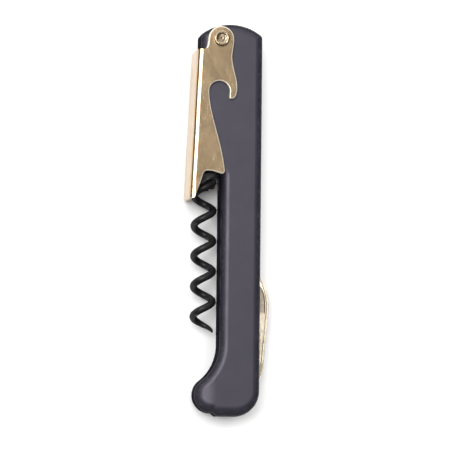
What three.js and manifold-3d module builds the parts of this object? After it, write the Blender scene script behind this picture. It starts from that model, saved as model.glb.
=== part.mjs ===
// A waiter's corkscrew, closed. Two moulded half shells cover a riveted steel frame. A plated lever
// with a crown-cap hook straddles the head, a coated worm hangs beside the grip, and a small foil
// knife folds into the other edge of the handle.
//
// Drawing frame, in millimetres: X runs across the handle, with the knife's edge wall near x = 0 and
// the lever and worm on the minus side. Y runs from the heel at 0 to the top of the head. Z runs
// through the thickness, with the parting plane at 0. The last lines move the whole object so that
// it lies on its rear side with the origin under the centre of its bounding box.

import * as THREE from "three";
import { mergeVertices } from "three/addons/utils/BufferGeometryUtils.js";
import Module from "manifold-3d";

const wasm = await Module();
wasm.setup();

const RIGHT_ANGLE = Math.PI / 2;
const FULL_TURN = 2 * Math.PI;

// Handle
const HALF_THICKNESS = 6.05;
const KNIFE_WALL = 0.22;
const GRIP_WALL = -12.15;
const HEAD_WALL = -18.78;
const DOME = { x: -9.4, y: 104.86, radius: 15 };
const RIGHT_CORNER_RADIUS = 1.5;
const LEFT_CORNER_RADIUS = 1.2;
const STEP_Y = 74.2;
const STEP_CORNER_RADIUS = 2.6;
const STEP_FILLET = 1.5;
const LOBE = { x: -14.15, y: 6.45, radius: 5.5 };
const NECK_RADIUS = 13.7;
const HEEL_STEP_END = -12.5;
const HEEL_RADIUS = 7.8;
const EDGE_RADIUS = 2.5;
const LOBE_FALL = { from: -13.3, to: -21, rate: 0.035, top: 24 };
const SEAM_GAP = 0.03;

// Frame inside the handle
const FRAME_HALF_GAP = 2.4;
const LINER_THICKNESS = 1;
const LINER_WALL = 2;
const LINER_PLAY = 0.1;
const SPACER_HALF = 2.2;
const FIT = 0.3;
const RIVET_RADIUS = 0.9;
const RIVETS = {
  frame_rivet_top: [-5.2, 111],
  frame_rivet_head: [-5.2, 89],
  frame_rivet_middle: [-6.6, 68],
  frame_rivet_lower: [-6.6, 50],
};

// Lever
const LEVER_PIN = { x: -12.86, y: 115, radius: 1.5, headRadius: 2.45, headHeight: 0.85 };
const LEVER_HALF_WIDTH = 7.55;
const LEVER_SHEET = 1.15;
const LEVER_DEPTH = 16;
const LEVER_BEND = { top: 1.7, bottom: 1.3 };
const LEVER_TOP = 111.35;
const LEVER_TIP = 66.1;
const SPINE = { x: -20.4, y: 108, slant: 0.045 };
const EAR = { x: -12.98, y: 114.85, radius: 3.92 };
const HOOK = { x: -13.4, y: 98.8, radius: 3.15 };
const WASHER_THICKNESS = 0.2;

// Worm
const WORM_PIN = { x: -15, y: 79, radius: 1 };
const EYE_RADIUS = 2.7;
const SLOT_RIGHT = -12;
const SLOT_TOP = 84.3;
const WORM_X = -16.85;
const WIRE_RADIUS = 1.1;
const COIL_RADIUS = 2.9;
const PITCH = 9.25;
const RIGHT_SIDE_Y = 62.9;
const WORM_TOP = 71.5;
const WORM_TIP = 25.6;
const POINT_LENGTH = 9;
const SPIGOT_RADIUS = 1.4;
const SPIGOT_END = 68.9;
const SHOULDER = { left: -19.2, right: -13.4, top: 76.6, split: -0.3 };

// Knife
const KNIFE_PIN = { x: -4.4, y: 8.8, radius: 1.1 };
const TANG_RADIUS = 3.9;
const BLADE_HALF = 0.6;
const KNIFE_SLOT_HALF = 0.85;
const KNIFE_SLOT = { left: -9.9, top: 45.5 };
const KNIFE_WASHER_RADIUS = 2.2;

const PLASTIC = new THREE.MeshStandardMaterial({ color: 0x52505d, roughness: 0.55, metalness: 0 });
const BRASS = new THREE.MeshStandardMaterial({ color: 0xc9ab7c, roughness: 0.25, metalness: 1 });
const STEEL = new THREE.MeshStandardMaterial({ color: 0x9a9a98, roughness: 0.4, metalness: 1 });
const COATING = new THREE.MeshStandardMaterial({ color: 0x1c1a1b, roughness: 0.45, metalness: 0.2 });

// ---------------------------------------------------------------- solids

// A closed geometry as a solid, with shared vertices merged and collapsed triangles dropped.
function solidOf(geometry) {
  const bare = geometry.clone();
  bare.deleteAttribute("normal");
  bare.deleteAttribute("uv");
  const merged = mergeVertices(bare, 1e-4);
  const corners = merged.index.array;
  const kept = [];
  for (let i = 0; i < corners.length; i += 3) {
    const [a, b, c] = corners.slice(i, i + 3);
    if (a !== b && b !== c && c !== a) {
      kept.push(a, b, c);
    }
  }
  const vertProperties = merged.attributes.position.array;
  return new wasm.Manifold(new wasm.Mesh({ numProp: 3, vertProperties, triVerts: new Uint32Array(kept) }));
}

function geometryOf(solid) {
  const { vertProperties, triVerts } = solid.getMesh();
  const indexed = new THREE.BufferGeometry();
  indexed.setAttribute("position", new THREE.BufferAttribute(vertProperties, 3));
  indexed.setIndex(new THREE.BufferAttribute(triVerts, 1));
  const flat = indexed.toNonIndexed();
  flat.computeVertexNormals();
  return flat;
}

function cut(solid, ...tools) {
  return tools.reduce((left, tool) => left.subtract(tool), solid);
}

function part(name, solid, material) {
  const mesh = new THREE.Mesh(geometryOf(solid), material);
  mesh.name = name;
  return mesh;
}

// ---------------------------------------------------------------- basic shapes

// A flat outline between two heights.
function plate(shape, low, high, curveSegments = 10) {
  const options = { depth: high - low, bevelEnabled: false, curveSegments };
  return solidOf(new THREE.ExtrudeGeometry(shape, options).translate(0, 0, low));
}

// A round bar along Z.
function bar(at, radius, low, high, sides = 24) {
  const cylinder = new THREE.CylinderGeometry(radius, radius, high - low, sides);
  cylinder.rotateX(RIGHT_ANGLE);
  cylinder.translate(at.x, at.y, (low + high) / 2);
  return solidOf(cylinder);
}

function ring(at, inner, outer, low, high) {
  return cut(bar(at, outer, low, high), bar(at, inner, low - 1, high + 1));
}

// A closed skin through a row of outlines with equal numbers of points. flatten gives a point's
// place in the plane in which the two end caps are filled.
function lofted(levels, flatten) {
  const count = levels[0].length;
  const triangles = [];
  for (let j = 0; j + 1 < levels.length; j++) {
    for (let i = 0; i < count; i++) {
      const next = (i + 1) % count;
      triangles.push(levels[j][i], levels[j][next], levels[j + 1][next]);
      triangles.push(levels[j][i], levels[j + 1][next], levels[j + 1][i]);
    }
  }
  triangles.push(...capOf(levels[0], flatten).reverse());
  triangles.push(...capOf(levels.at(-1), flatten));
  return solidOf(new THREE.BufferGeometry().setFromPoints(triangles));
}

function capOf(level, flatten) {
  const rim = level.filter((p, i) => p.distanceTo(level.at(i - 1)) > 1e-4);
  const faces = THREE.ShapeUtils.triangulateShape(rim.map(flatten), []);
  return faces.flatMap((face) => face.map((k) => rim[k]));
}

function alongY(p) {
  return new THREE.Vector2(p.x, p.z);
}

function rectangle(left, bottom, right, top) {
  const corners = [
    [left, bottom],
    [right, bottom],
    [right, top],
    [left, top],
  ];
  return new THREE.Shape(corners.map(([x, y]) => new THREE.Vector2(x, y)));
}

// ---------------------------------------------------------------- handle shells

// Points on an arc. Each carries its own inward direction, so that the outline can be stepped in.
function arc(centre, radius, from, to, steps, corner = null) {
  const turn = Math.sign(to - from);
  return Array.from({ length: steps + 1 }, (_, i) => {
    const angle = THREE.MathUtils.lerp(from, to, i / steps);
    const out = new THREE.Vector2(Math.cos(angle), Math.sin(angle));
    const inward = out.clone().multiplyScalar(-turn);
    return { x: centre.x + radius * out.x, y: centre.y + radius * out.y, inward, corner };
  });
}

// A corner arc between a straight side wall and the domed top. Where the edge radius is larger than
// the corner's own, the stepped-in outline meets in a point, as two offset lines do.
function domeCorner(wallX, side, radius) {
  const x = wallX - side * radius;
  const reach = DOME.radius - radius;
  const y = DOME.y + Math.sqrt(reach ** 2 - (x - DOME.x) ** 2);
  const sharpAt = (depth) => {
    const sharpX = wallX - side * depth;
    const sharpY = DOME.y + Math.sqrt((DOME.radius - depth) ** 2 - (sharpX - DOME.x) ** 2);
    return new THREE.Vector2(sharpX, sharpY);
  };
  return { centre: { x, y }, radius, angle: Math.atan2(y - DOME.y, x - DOME.x), corner: { radius, sharpAt } };
}

function heelStep(steps) {
  const low = LOBE.y - LOBE.radius;
  const span = HEEL_STEP_END - LOBE.x;
  return Array.from({ length: steps }, (_, i) => {
    const share = (i + 1) / steps;
    const y = low * (1 - THREE.MathUtils.smoothstep(share, 0, 1));
    return { x: LOBE.x + span * share, y, inward: new THREE.Vector2(0, 1), corner: null };
  });
}

function handleOutline() {
  const right = domeCorner(KNIFE_WALL, 1, RIGHT_CORNER_RADIUS);
  const left = domeCorner(HEAD_WALL, -1, LEFT_CORNER_RADIUS);
  const stepCorner = { x: HEAD_WALL + STEP_CORNER_RADIUS, y: STEP_Y + STEP_CORNER_RADIUS };
  const stepFillet = { x: GRIP_WALL - STEP_FILLET, y: STEP_Y - STEP_FILLET };
  const neckX = GRIP_WALL - NECK_RADIUS;
  const neckReach = NECK_RADIUS + LOBE.radius;
  const neck = { x: neckX, y: LOBE.y + Math.sqrt(neckReach ** 2 - (LOBE.x - neckX) ** 2) };
  const neckEnd = Math.atan2(LOBE.y - neck.y, LOBE.x - neck.x);
  const heel = { x: KNIFE_WALL - HEEL_RADIUS, y: HEEL_RADIUS };
  return [
    ...arc(heel, HEEL_RADIUS, -RIGHT_ANGLE, 0, 8),
    ...arc(right.centre, right.radius, 0, right.angle, 3, right.corner),
    ...arc(DOME, DOME.radius, right.angle, left.angle, 12).slice(1, -1),
    ...arc(left.centre, left.radius, left.angle, Math.PI, 3, left.corner),
    ...arc(stepCorner, STEP_CORNER_RADIUS, Math.PI, 3 * RIGHT_ANGLE, 4),
    ...arc(stepFillet, STEP_FILLET, RIGHT_ANGLE, 0, 3),
    ...arc(neck, NECK_RADIUS, 0, neckEnd, 8),
    ...arc(LOBE, LOBE.radius, Math.PI + neckEnd, 3 * RIGHT_ANGLE, 10).slice(1),
    ...heelStep(5),
  ];
}

function steppedIn(point, depth) {
  if (point.corner && depth > point.corner.radius) {
    return point.corner.sharpAt(depth);
  }
  return new THREE.Vector2(point.x, point.y).addScaledVector(point.inward, depth);
}

// Half of the handle's outer body, from the seam up to a flat face with a rounded edge.
function halfBody(edgeSteps = 5) {
  const outline = handleOutline();
  const levels = [outline.map((p) => new THREE.Vector3(p.x, p.y, SEAM_GAP))];
  for (let j = 0; j <= edgeSteps; j++) {
    const angle = (RIGHT_ANGLE * j) / edgeSteps;
    const depth = EDGE_RADIUS * (1 - Math.cos(angle));
    const z = HALF_THICKNESS - EDGE_RADIUS * (1 - Math.sin(angle));
    levels.push(
      outline.map((p) => {
        const at = steppedIn(p, depth);
        return new THREE.Vector3(at.x, at.y, z);
      }),
    );
  }
  return lofted(levels, (p) => new THREE.Vector2(p.x, p.y));
}

// What is taken off the broad face of the lobe at the foot, which falls away to the left in a curve.
function lobeFall(steps = 5) {
  const span = LOBE_FALL.to - LOBE_FALL.from;
  const curve = Array.from({ length: steps + 1 }, (_, i) => {
    const run = (span * i) / steps;
    return [LOBE_FALL.from + run, HALF_THICKNESS - LOBE_FALL.rate * run ** 2];
  });
  const outline = [...curve, [LOBE_FALL.to, HALF_THICKNESS + 1], [LOBE_FALL.from, HALF_THICKNESS + 1]].reverse();
  return lofted(
    [LOBE_FALL.top, -1].map((y) => outline.map(([x, z]) => new THREE.Vector3(x, y, z))),
    alongY,
  );
}

// Outline of the frame's liners: a straight bar with a wider, domed head. grow moves every edge out.
function linerShape(grow = 0) {
  const right = KNIFE_WALL - LINER_WALL + grow;
  const headLeft = HEAD_WALL + LINER_WALL - grow;
  const gripLeft = GRIP_WALL + LINER_WALL - grow;
  const headBottom = STEP_Y + LINER_WALL - grow;
  const domeRadius = DOME.radius - LINER_WALL + grow;
  const footX = KNIFE_WALL - HEEL_RADIUS;
  const footRadius = HEEL_RADIUS - LINER_WALL + grow;
  const shape = new THREE.Shape();
  shape.moveTo(gripLeft, LINER_WALL - grow);
  shape.lineTo(footX, LINER_WALL - grow);
  shape.absarc(footX, HEEL_RADIUS, footRadius, -RIGHT_ANGLE, 0, false);
  const domeStart = Math.acos((right - DOME.x) / domeRadius);
  const domeEnd = Math.acos((headLeft - DOME.x) / domeRadius);
  shape.absarc(DOME.x, DOME.y, domeRadius, domeStart, domeEnd, false);
  shape.lineTo(headLeft, headBottom);
  shape.lineTo(gripLeft, headBottom);
  return shape;
}

function shellGeometry() {
  const pocket = plate(linerShape(LINER_PLAY), -1, FRAME_HALF_GAP + LINER_THICKNESS + LINER_PLAY, 6);
  const wormSlot = rectangle(HEAD_WALL - 5, STEP_Y - 5, SLOT_RIGHT, SLOT_TOP);
  const knifeSlot = rectangle(KNIFE_SLOT.left, -5, 5, KNIFE_SLOT.top);
  return cut(
    halfBody(),
    lobeFall(),
    pocket,
    plate(wormSlot, -1, FRAME_HALF_GAP),
    plate(knifeSlot, -1, KNIFE_SLOT_HALF),
    bar(LEVER_PIN, LEVER_PIN.radius + FIT, -1, HALF_THICKNESS + 1),
  );
}

// ---------------------------------------------------------------- frame

function liner() {
  const low = FRAME_HALF_GAP;
  const high = FRAME_HALF_GAP + LINER_THICKNESS;
  const holes = [LEVER_PIN, WORM_PIN, KNIFE_PIN].map((pin) => bar(pin, pin.radius + FIT, low - 1, high + 1));
  const rivetHoles = Object.values(RIVETS).map(([x, y]) => bar({ x, y }, RIVET_RADIUS + FIT, low - 1, high + 1));
  return cut(plate(linerShape(), low, high, 6), ...holes, ...rivetHoles);
}

function rivetHole(name) {
  const [x, y] = RIVETS[name];
  return bar({ x, y }, RIVET_RADIUS + FIT, -HALF_THICKNESS, HALF_THICKNESS);
}

// Fills the head between the liners, above the worm's slot.
function headSpacer() {
  const outline = plate(linerShape(-FIT), -SPACER_HALF, SPACER_HALF, 6);
  const belowHead = rectangle(HEAD_WALL, -5, 5, SLOT_TOP + FIT);
  return cut(
    outline,
    plate(belowHead, -SPACER_HALF - 1, SPACER_HALF + 1),
    bar(LEVER_PIN, LEVER_PIN.radius + FIT, -SPACER_HALF - 1, SPACER_HALF + 1),
    rivetHole("frame_rivet_top"),
    rivetHole("frame_rivet_head"),
  );
}

// One spring serves both tools: its lower arm presses on the knife's tang, its upper arm on the
// eye of the worm's carrier.
function backSpring() {
  const left = GRIP_WALL + LINER_WALL + LINER_PLAY;
  const armRight = left + 0.8;
  const blockRight = -3.5;
  const block = { bottom: 46.5, top: 72 };
  const nose = { x: KNIFE_PIN.x - TANG_RADIUS - FIT, y: KNIFE_PIN.y };
  const upperNose = { x: SLOT_RIGHT + 0.1, y: WORM_PIN.y };
  const corners = [
    [left, nose.y - 3],
    [armRight, nose.y - 2.4],
    [nose.x, nose.y - 0.8],
    [nose.x, nose.y + 0.8],
    [armRight, nose.y + 2.4],
    [armRight, block.bottom],
    [blockRight, block.bottom + 4],
    [blockRight, block.top - 4],
    [armRight + 0.4, block.top],
    [armRight + 0.4, upperNose.y + 3.2],
    [left, upperNose.y + 3.2],
    [upperNose.x, upperNose.y + 1],
    [upperNose.x, upperNose.y - 1],
    [left, upperNose.y - 2.4],
  ];
  const shape = new THREE.Shape(corners.map(([x, y]) => new THREE.Vector2(x, y)));
  return cut(
    plate(shape, -SPACER_HALF, SPACER_HALF),
    rivetHole("frame_rivet_middle"),
    rivetHole("frame_rivet_lower"),
  );
}

function buildHandle() {
  const handle = new THREE.Group();
  const shell = shellGeometry();
  const linerSolid = liner();
  const linerFace = FRAME_HALF_GAP + LINER_THICKNESS;
  handle.add(part("handle_front_shell", shell, PLASTIC));
  handle.add(part("frame_liner_front", linerSolid, STEEL));
  for (const [name, solid, material] of [
    ["handle_rear_shell", shell, PLASTIC],
    ["frame_liner_rear", linerSolid, STEEL],
  ]) {
    const mirrored = part(name, solid, material);
    mirrored.scale.z = -1;
    handle.add(mirrored);
  }
  handle.add(part("head_spacer", headSpacer(), STEEL));
  handle.add(part("back_spring", backSpring(), STEEL));
  for (const [name, [x, y]] of Object.entries(RIVETS)) {
    handle.add(part(name, bar({ x, y }, RIVET_RADIUS, -linerFace, linerFace, 16), STEEL));
  }
  handle.add(part("lever_pin", leverPin(), BRASS));
  handle.add(part("worm_pin", bar(WORM_PIN, WORM_PIN.radius, -linerFace, linerFace, 20), STEEL));
  handle.add(part("knife_pin", bar(KNIFE_PIN, KNIFE_PIN.radius, -linerFace, linerFace, 20), STEEL));
  const leverWasherLow = HALF_THICKNESS + (LEVER_HALF_WIDTH - LEVER_SHEET - HALF_THICKNESS - WASHER_THICKNESS) / 2;
  handle.add(...washerPair("lever_washer", LEVER_PIN, EAR.radius - FIT, leverWasherLow, WASHER_THICKNESS));
  const knifeWasherLow = BLADE_HALF + 0.05;
  const knifeWasherThickness = FRAME_HALF_GAP - 0.05 - knifeWasherLow;
  handle.add(...washerPair("knife_washer", KNIFE_PIN, KNIFE_WASHER_RADIUS, knifeWasherLow, knifeWasherThickness));
  return handle;
}

function washerPair(name, pin, outer, low, thickness) {
  return [
    ["front", low, low + thickness],
    ["rear", -low - thickness, -low],
  ].map(([side, from, to]) => part(`${name}_${side}`, ring(pin, pin.radius + FIT, outer, from, to), STEEL));
}

// The lever's rivet, with a dished head formed on each end.
function leverPin() {
  const { radius, headRadius, headHeight } = LEVER_PIN;
  const under = LEVER_HALF_WIDTH + 0.05;
  const top = LEVER_HALF_WIDTH + headHeight;
  const headProfile = [
    [radius, under],
    [headRadius, under],
    [headRadius, under + 0.3],
    [headRadius - 0.4, top - 0.1],
    [headRadius - 0.9, top],
    [headRadius - 1.4, top - 0.25],
    [0, top - 0.25],
  ];
  const rearHead = headProfile.map(([r, z]) => [r, -z]).reverse();
  const points = [...rearHead, ...headProfile].map(([r, z]) => new THREE.Vector2(r, z));
  const turned = new THREE.LatheGeometry(points, 28);
  turned.rotateX(RIGHT_ANGLE);
  turned.translate(LEVER_PIN.x, LEVER_PIN.y, 0);
  return solidOf(turned);
}

// ---------------------------------------------------------------- lever

// The bent sheet's cross-section at one height: the spine with a bend at each side, and two side
// plates. The bends are rounder at the head than at the tip.
function channelSection(y) {
  const toTip = (LEVER_TOP - y) / (LEVER_TOP - LEVER_TIP);
  const bend = THREE.MathUtils.lerp(LEVER_BEND.top, LEVER_BEND.bottom, toTip);
  const left = SPINE.x + (y - SPINE.y) * SPINE.slant;
  const right = left + LEVER_DEPTH;
  const outer = LEVER_HALF_WIDTH;
  const inner = outer - LEVER_SHEET;
  const bendX = left + bend;
  const bendZ = outer - bend;
  const innerBend = bend - LEVER_SHEET;
  const shape = new THREE.Shape();
  shape.moveTo(right, -outer);
  shape.lineTo(right, -inner);
  shape.lineTo(bendX, -inner);
  shape.absarc(bendX, -bendZ, innerBend, -RIGHT_ANGLE, -Math.PI, true);
  shape.lineTo(left + LEVER_SHEET, bendZ);
  shape.absarc(bendX, bendZ, innerBend, Math.PI, RIGHT_ANGLE, true);
  shape.lineTo(right, inner);
  shape.lineTo(right, outer);
  shape.lineTo(bendX, outer);
  shape.absarc(bendX, bendZ, bend, RIGHT_ANGLE, Math.PI, false);
  shape.lineTo(left, -bendZ);
  shape.absarc(bendX, -bendZ, bend, Math.PI, 3 * RIGHT_ANGLE, false);
  const points = shape.getPoints(3);
  const distinct = points.filter((p, i) => i === 0 || p.distanceTo(points[i - 1]) > 1e-6);
  return distinct.map((p) => new THREE.Vector3(p.x, y, p.y));
}

// Side view of the lever: the ear round the pin, the crown-cap hook, and the notch that rests on
// the bottle's rim.
function leverProfile() {
  const beyondSpine = SPINE.x - 4;
  const shape = new THREE.Shape();
  shape.moveTo(beyondSpine, LEVER_TIP + 0.1);
  shape.lineTo(-21.2, LEVER_TIP);
  shape.quadraticCurveTo(-20.65, LEVER_TIP, -20.4, 66.9);
  shape.lineTo(-19.1, 70.4);
  shape.lineTo(-18.3, 72.9);
  shape.quadraticCurveTo(-17.95, 74.5, -16.6, 74.48);
  shape.lineTo(-15.4, 74.4);
  shape.lineTo(-12.5, 73.65);
  shape.quadraticCurveTo(-11.65, 73.45, -11.5, 74.5);
  shape.bezierCurveTo(-12.75, 84.6, HOOK.x - HOOK.radius, 91.9, HOOK.x - HOOK.radius, HOOK.y);
  shape.absarc(HOOK.x, HOOK.y, HOOK.radius, Math.PI, 0, true);
  shape.lineTo(-10.35, 96.7);
  shape.quadraticCurveTo(-10.3, 96.45, -9.9, 96.5);
  shape.lineTo(-9.1, 96.65);
  shape.quadraticCurveTo(-8.1, 97.2, -7.95, 99.6);
  shape.bezierCurveTo(-7.8, 103, -9.7, 106, -9.6, 110);
  shape.lineTo(EAR.x + EAR.radius, EAR.y - 0.8);
  shape.absarc(EAR.x, EAR.y, EAR.radius, 0, Math.PI, false);
  shape.lineTo(-17.2, 112.9);
  shape.quadraticCurveTo(-17.4, LEVER_TOP + 0.4, -18.2, LEVER_TOP + 0.3);
  shape.lineTo(beyondSpine, LEVER_TOP);
  return shape;
}

function lever() {
  const ends = [EAR.y + EAR.radius + 1, LEVER_TIP - 1];
  const channel = lofted(ends.map(channelSection), alongY);
  const profile = plate(leverProfile(), -LEVER_HALF_WIDTH - 1, LEVER_HALF_WIDTH + 1, 12);
  const hole = bar(LEVER_PIN, LEVER_PIN.radius + FIT, -LEVER_HALF_WIDTH - 1, LEVER_HALF_WIDTH + 1);
  return cut(channel.intersect(profile), hole);
}

// ---------------------------------------------------------------- worm

// Centre line of the right-handed worm, from its top coil down to the point.
class WormLine extends THREE.Curve {
  getPoint(share, target = new THREE.Vector3()) {
    const y = THREE.MathUtils.lerp(WORM_TOP, WORM_TIP, share);
    const turn = RIGHT_ANGLE + (FULL_TURN * (y - RIGHT_SIDE_Y)) / PITCH;
    return target.set(WORM_X + COIL_RADIUS * Math.sin(turn), y, COIL_RADIUS * Math.cos(turn));
  }
}

// A round wire along a curve, ground down to a point over its last stretch.
function worm(sides = 8, stepsPerTurn = 20) {
  const line = new WormLine();
  const steps = Math.round((stepsPerTurn * (WORM_TOP - WORM_TIP)) / PITCH);
  const frames = line.computeFrenetFrames(steps, false);
  const length = line.getLength();
  const rings = frames.normals.map((normal, i) => {
    const along = i / steps;
    const left = (1 - along) * length;
    const radius = WIRE_RADIUS * Math.min(1, 0.15 + 0.85 * Math.sqrt(left / POINT_LENGTH));
    const centre = line.getPointAt(along);
    return Array.from({ length: sides }, (_, k) => {
      const angle = (FULL_TURN * k) / sides;
      return centre
        .clone()
        .addScaledVector(normal, radius * Math.cos(angle))
        .addScaledVector(frames.binormals[i], radius * Math.sin(angle));
    });
  });
  return lofted(rings, alongY);
}

// Side view of the block that turns on the worm's pin, with the heights of its two lower corners.
function carrierShape(leftBottom, rightBottom) {
  const { left, right, top } = SHOULDER;
  const slope = (rightBottom - leftBottom) / (right - left);
  const corner = 0.8;
  const shape = new THREE.Shape();
  shape.moveTo(left + corner, leftBottom + corner * slope);
  shape.lineTo(right - corner, rightBottom - corner * slope);
  shape.quadraticCurveTo(right, rightBottom, right, rightBottom + corner);
  shape.lineTo(WORM_PIN.x + EYE_RADIUS, WORM_PIN.y - 0.5);
  shape.absarc(WORM_PIN.x, WORM_PIN.y, EYE_RADIUS, 0, (3 * Math.PI) / 4, false);
  shape.lineTo(left, top);
  shape.lineTo(left, leftBottom + corner);
  shape.quadraticCurveTo(left, leftBottom, left + corner, leftBottom + corner * slope);
  return shape;
}

// The worm's carrier. In front its lower face slants along the worm's first strand, and behind it
// reaches lower. Its spigot stands inside the worm's top coil.
function wormCarrier() {
  const front = plate(carrierShape(70.1, 73.6), SHOULDER.split, SPACER_HALF, 8);
  const rear = plate(carrierShape(69.6, 69.6), -SPACER_HALF, SHOULDER.split, 8);
  const spigotLength = SHOULDER.top - SPIGOT_END;
  const spigot = new THREE.CylinderGeometry(SPIGOT_RADIUS, SPIGOT_RADIUS, spigotLength, 16);
  spigot.translate(WORM_X, SPIGOT_END + spigotLength / 2, 0);
  const hole = bar(WORM_PIN, WORM_PIN.radius + FIT, -SPACER_HALF - 1, SPACER_HALF + 1);
  return cut(front.add(rear).add(solidOf(spigot)), hole);
}

// ---------------------------------------------------------------- knife

// The folded blade: its back stands proud of the handle and its cutting edge lies inside the slot.
function knifeShape() {
  const tip = { x: 0.4, y: 43.4 };
  const shape = new THREE.Shape();
  shape.moveTo(KNIFE_PIN.x + TANG_RADIUS, KNIFE_PIN.y);
  shape.quadraticCurveTo(KNIFE_PIN.x + TANG_RADIUS + 0.1, 10.2, 0.6, 11.2);
  shape.quadraticCurveTo(1.9, 12.6, 2, 15.2);
  shape.bezierCurveTo(2.3, 22, 3.4, 29, 3.5, 34);
  shape.bezierCurveTo(3.5, 37, 2.2, 41, tip.x, tip.y);
  shape.bezierCurveTo(-4, 39, -7, 27, -6.6, 17);
  shape.quadraticCurveTo(-6.6, 14.2, KNIFE_PIN.x - TANG_RADIUS * 0.8, KNIFE_PIN.y + TANG_RADIUS * 0.6);
  shape.absarc(KNIFE_PIN.x, KNIFE_PIN.y, TANG_RADIUS, Math.PI - Math.asin(0.6), FULL_TURN, false);
  return shape;
}

function knifeBlade() {
  const hole = bar(KNIFE_PIN, KNIFE_PIN.radius + FIT, -BLADE_HALF - 1, BLADE_HALF + 1);
  return cut(plate(knifeShape(), -BLADE_HALF, BLADE_HALF), hole);
}

// ---------------------------------------------------------------- assembly

const corkscrew = new THREE.Group();
corkscrew.add(buildHandle());
corkscrew.add(part("lever", lever(), BRASS));
corkscrew.add(part("worm_carrier", wormCarrier(), COATING));
corkscrew.add(part("worm", worm(), COATING));
corkscrew.add(part("knife_blade", knifeBlade(), BRASS));

const box = new THREE.Box3().setFromObject(corkscrew);
const centre = box.getCenter(new THREE.Vector3());
corkscrew.position.set(-centre.x, -centre.y, -box.min.z);

export default corkscrew;
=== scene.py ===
import math

import bmesh
import bpy
from mathutils import Matrix, Vector


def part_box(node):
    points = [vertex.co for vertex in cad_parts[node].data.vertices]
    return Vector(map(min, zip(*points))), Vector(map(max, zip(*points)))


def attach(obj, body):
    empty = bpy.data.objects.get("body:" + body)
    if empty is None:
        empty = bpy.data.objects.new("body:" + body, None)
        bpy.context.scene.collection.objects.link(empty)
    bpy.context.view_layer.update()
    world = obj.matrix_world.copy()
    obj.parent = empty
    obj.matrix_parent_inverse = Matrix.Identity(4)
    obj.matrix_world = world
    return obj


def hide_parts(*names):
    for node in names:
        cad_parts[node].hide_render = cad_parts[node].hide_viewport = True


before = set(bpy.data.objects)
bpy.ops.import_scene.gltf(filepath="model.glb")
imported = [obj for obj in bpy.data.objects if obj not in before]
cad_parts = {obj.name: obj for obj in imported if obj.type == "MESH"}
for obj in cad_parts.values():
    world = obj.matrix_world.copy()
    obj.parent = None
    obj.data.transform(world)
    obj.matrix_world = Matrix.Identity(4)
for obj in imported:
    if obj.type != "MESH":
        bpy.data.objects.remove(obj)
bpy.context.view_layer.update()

# Shapes are drawn in millimetres in the handle's own frame: x runs across the handle from the wall
# on the knife's side, y from the heel to the head, and z through the thickness, with the parting
# plane at 0. to_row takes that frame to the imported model's, in metres. Circles are given as
# (x, y, radius), pins as (x, y), and slots as (left, bottom, right, top).
MM = 0.001
KNIFE_WALL = 0.22
SEAM_GAP = 0.03
shell_low, shell_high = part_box("handle_front_shell")
origin = Vector((shell_high.x - KNIFE_WALL * MM, shell_low.y, shell_low.z - SEAM_GAP * MM))
to_row = Matrix.Translation(origin) @ Matrix.Scale(MM, 4)

HALF_THICKNESS = 6.05
GRIP_WALL = -12.15
HEAD_WALL = -18.78
STEP_Y = 74.2
EDGE_RADIUS = 2.5
HEEL_EDGE_RADIUS = 3.3
LOBE_FALL_FROM = -13.3
LOBE_FALL_WIDTH = 6.3
LOBE_FALL_RATE = 0.035
LOBE = (-14.15, 6.45, 5.5)
DOME = (-9.4, 104.86, 15.0)
HEEL_RADIUS = 7.8
HEEL_STEP_END = -12.5
NECK_RADIUS = 13.7
STEP_RADIUS = 2.6
STEP_FILLET = 1.5
KNIFE_CORNER_RADIUS = 1.5
LEVER_CORNER_RADIUS = 1.2
SEAM_CHAMFER = 0.14
LINER_WALL = 2.0
LINER_ROOM = 0.1
LINER_POCKET_HALF = 3.5
WORM_SLOT = (HEAD_WALL - 5, STEP_Y - 5, -12, 84.3)
WORM_SLOT_HALF = 2.4
KNIFE_SLOT = (-9.9, -5, 5, 45.5)
KNIFE_SLOT_HALF = 0.85
PIN_ROOM = 0.3

LEVER_PIN = (-12.86, 115.0)
LEVER_PIN_RADIUS = 1.5
LEVER_HALF_WIDTH = 7.55
LEVER_SHEET = 1.15
LEVER_TOP = 119.77
LEVER_BOTTOM = 65.1
LEVER_DEPTH = 16
SPINE = (-20.4, 108)  # a point on the slanting spine's outer face
SPINE_SLANT = 0.045
BEND_WIDE = 2.5
BEND_TIGHT = 1.3
BEND_CHANGE = 27  # degrees turned where the wide radius gives way to the tight one
PLATE_ROUNDING = 0.37
LEVER_ROUNDING = 0.12
EAR = (-12.98, 114.85, 3.92)
HOOK = (-13.4, 98.8, 3.15)
RIVET_HEAD_RADIUS = 2.45
RIVET_HEAD_GAP = 0.05
RIVET_HEAD_TOP = 0.85

WORM_PIN = (-15.0, 79.0)
WORM_X = -16.85
WIRE_RADIUS = 1.1
COIL_RADIUS = 2.9
PITCH = 9.25
RIGHT_SIDE_Y = 62.9
WORM_TOP = 71.5
WORM_TIP = 25.6
WORM_POINT = 9.0
CARRIER_LEFT = -19.2
CARRIER_RIGHT = -13.4
CARRIER_TOP = 76.6
CARRIER_CORNER = 0.8
CARRIER_HALF = 2.2
CARRIER_FRONT_FOOT = (70.1, 73.6)  # y at the left and at the right
CARRIER_REAR_FOOT = (69.6, 69.6)
CARRIER_SPLIT = -0.3
CARRIER_ROUNDING = 0.18
EYE_RADIUS = 2.7
EYE_HOLE = 1.3
SPIGOT_RADIUS = 1.4
SPIGOT_ENDS = (68.9, 76)

KNIFE_PIN = (-4.4, 8.8)
KNIFE_HOLE = 1.4
TANG_RADIUS = 3.9
TIP = (0.4, 43.4)
BLADE_HALF = 0.6
EDGE_HALF = 0.05
NICK_ENDS = (41.2, 31.7)  # from the tip's end to the tang's
NICK_LEFT = -0.7


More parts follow.
